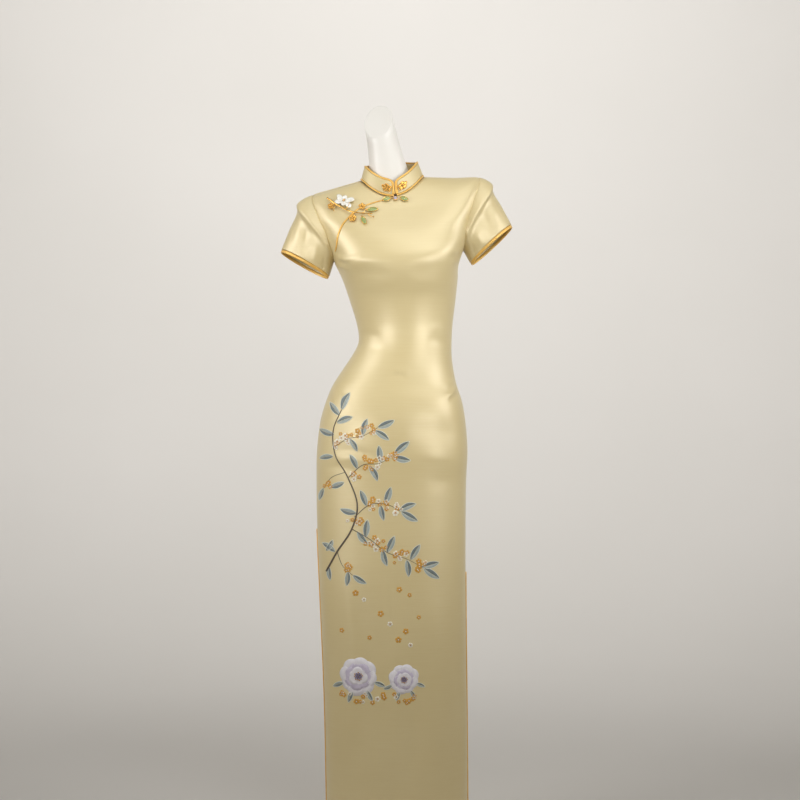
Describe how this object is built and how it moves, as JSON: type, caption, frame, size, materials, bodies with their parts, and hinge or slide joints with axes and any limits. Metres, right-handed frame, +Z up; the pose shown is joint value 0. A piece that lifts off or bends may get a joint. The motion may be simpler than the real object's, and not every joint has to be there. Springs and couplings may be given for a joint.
{
  "type": "cheongsam dress on a limbless dress form",
  "caption": "Floor-length silk cheongsam with mandarin collar, short sleeves, slanted lapel, bound edges and side slits, on a limbless dress form with a round base.",
  "frame": {"origin": "centre of the underside of the stand's round base plate", "axes": "+Z up along the pole, -Y towards the front of the dress, -X towards the wearer's right"},
  "size_m": [0.5106, 0.3, 1.6199],
  "materials": {
    "silk_satin": "pale champagne silk satin, soft sheen",
    "binding_satin": "gold satin bias binding",
    "gilt_metal": "polished gilt casting",
    "jade_enamel": "glossy green enamel",
    "white_enamel": "glossy white enamel",
    "crystal": "faceted clear stone",
    "white_lacquer": "white satin lacquer over moulded shell",
    "polished_steel": "polished tube",
    "white_powder_coat": "fine white powder coat on steel"
  },
  "bodies": {
    "root": {"front_panel": "silk_satin", "front_underlap": "silk_satin", "back_panel": "silk_satin", "sleeve_right": "silk_satin", "sleeve_left": "silk_satin", "collar": "silk_satin", "cuff_binding_right": "binding_satin", "cuff_binding_left": "binding_satin", "collar_top_binding": "binding_satin", "neck_piping": "binding_satin", "lapel_binding": "binding_satin", "front_edge_binding": "binding_satin", "back_edge_binding": "binding_satin", "clasp_blossom_right": "gilt_metal", "clasp_blossom_left": "gilt_metal", "clasp_leaf_right": "jade_enamel", "clasp_leaf_left": "jade_enamel", "clasp_stone": "crystal", "brooch_twig": "gilt_metal", "brooch_blossom_outer": "gilt_metal", "brooch_blossom_middle": "gilt_metal", "brooch_blossom_inner": "gilt_metal", "brooch_leaf_long": "jade_enamel", "brooch_leaf_low": "jade_enamel", "brooch_bloom": "white_enamel", "form_torso": "white_lacquer", "form_pole": "polished_steel", "form_base": "white_powder_coat"}
  },
  "joints": []
}
